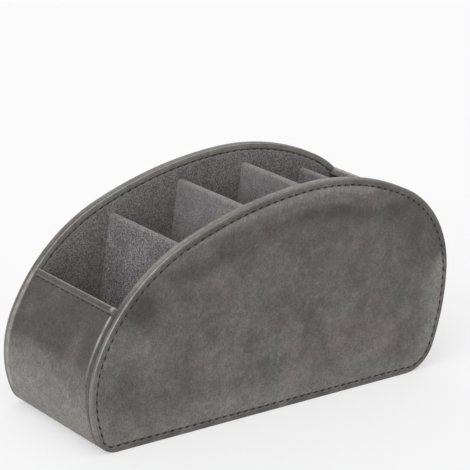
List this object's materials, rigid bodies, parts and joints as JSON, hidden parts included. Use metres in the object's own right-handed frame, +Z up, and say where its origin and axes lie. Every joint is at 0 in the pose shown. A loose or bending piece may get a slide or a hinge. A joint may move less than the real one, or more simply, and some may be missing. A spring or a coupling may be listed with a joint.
{
  "type": "remote control holder",
  "caption": "Free-standing desk caddy for remote controls: dome-shaped side panels in mottled grey leather, low curved front, suede-lined compartments between leaning dividers.",
  "frame": {"origin": "centre of the bounding box's underside, on the surface the holder stands on", "axes": "+X from the low front lip to the tall rear, +Y across from the near side panel to the far one, +Z up"},
  "size_m": [0.2496, 0.088, 0.1294],
  "materials": {
    "outer_leather": "matt, mottled, waxed artificial leather",
    "suede_lining": "short napped suede cloth",
    "fibreboard": "raw pressed board, hidden"
  },
  "bodies": {
    "root": {"near_panel_leather": "outer_leather", "near_panel_rim": "outer_leather", "far_panel_leather": "outer_leather", "far_panel_rim": "outer_leather", "wrap_leather": "outer_leather", "near_panel_lining": "suede_lining", "far_panel_lining": "suede_lining", "front_wall_lining": "suede_lining", "floor_lining": "suede_lining", "rear_wall_lining": "suede_lining", "divider_1_cover": "suede_lining", "divider_2_cover": "suede_lining", "divider_3_cover": "suede_lining", "divider_4_cover": "suede_lining", "near_panel_board": "fibreboard", "far_panel_board": "fibreboard", "front_wall_board": "fibreboard", "base_board": "fibreboard", "rear_wall_board": "fibreboard", "divider_1_board": "fibreboard", "divider_2_board": "fibreboard", "divider_3_board": "fibreboard", "divider_4_board": "fibreboard"}
  },
  "joints": []
}
